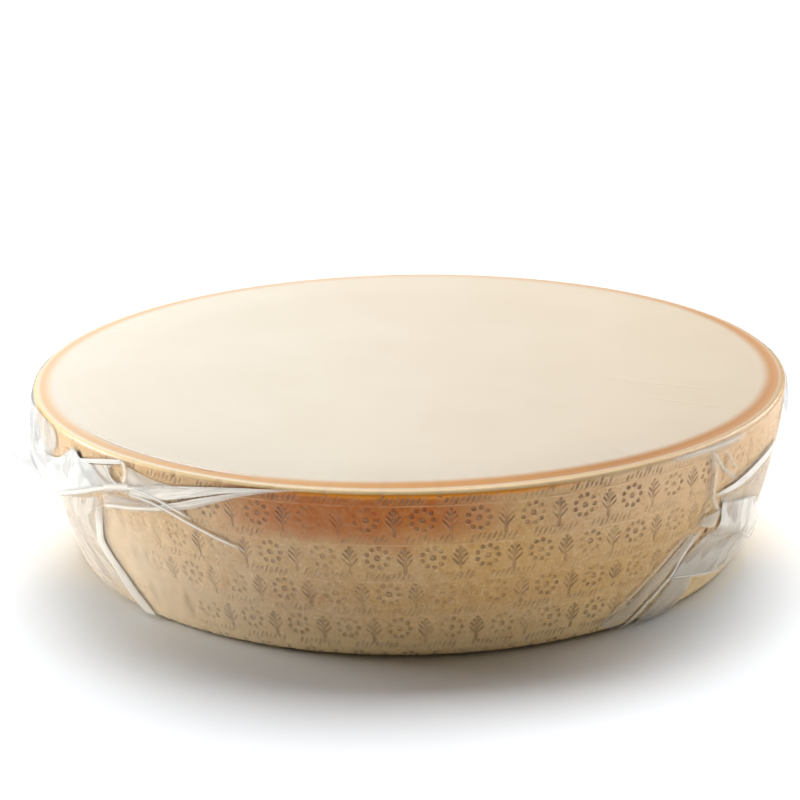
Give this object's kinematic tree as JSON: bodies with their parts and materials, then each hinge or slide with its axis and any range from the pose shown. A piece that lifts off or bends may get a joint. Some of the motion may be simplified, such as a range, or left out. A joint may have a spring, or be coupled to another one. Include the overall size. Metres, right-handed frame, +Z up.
{
  "type": "half wheel of hard cheese in a clear bag",
  "caption": "Half wheel of hard grana cheese, cut level through its middle, cut face up, with a bulging embossed rind, sealed skin tight in a clear bag with gathered folds.",
  "frame": {"origin": "centre of the base, on the surface that the half wheel stands on", "axes": "+Z up, out of the cut face; the front faces -Y; +X to the right, the bag's thin ear at -X"},
  "size_m": [0.4512, 0.44, 0.1],
  "materials": {
    "cheese": "pale cream paste inside a thin golden tan rind with low relief, oily satin",
    "film": "thin clear plastic bag film, glossy, whitish where it is creased"
  },
  "bodies": {
    "root": {"sealed_half_wheel": "cheese"}
  },
  "joints": []
}
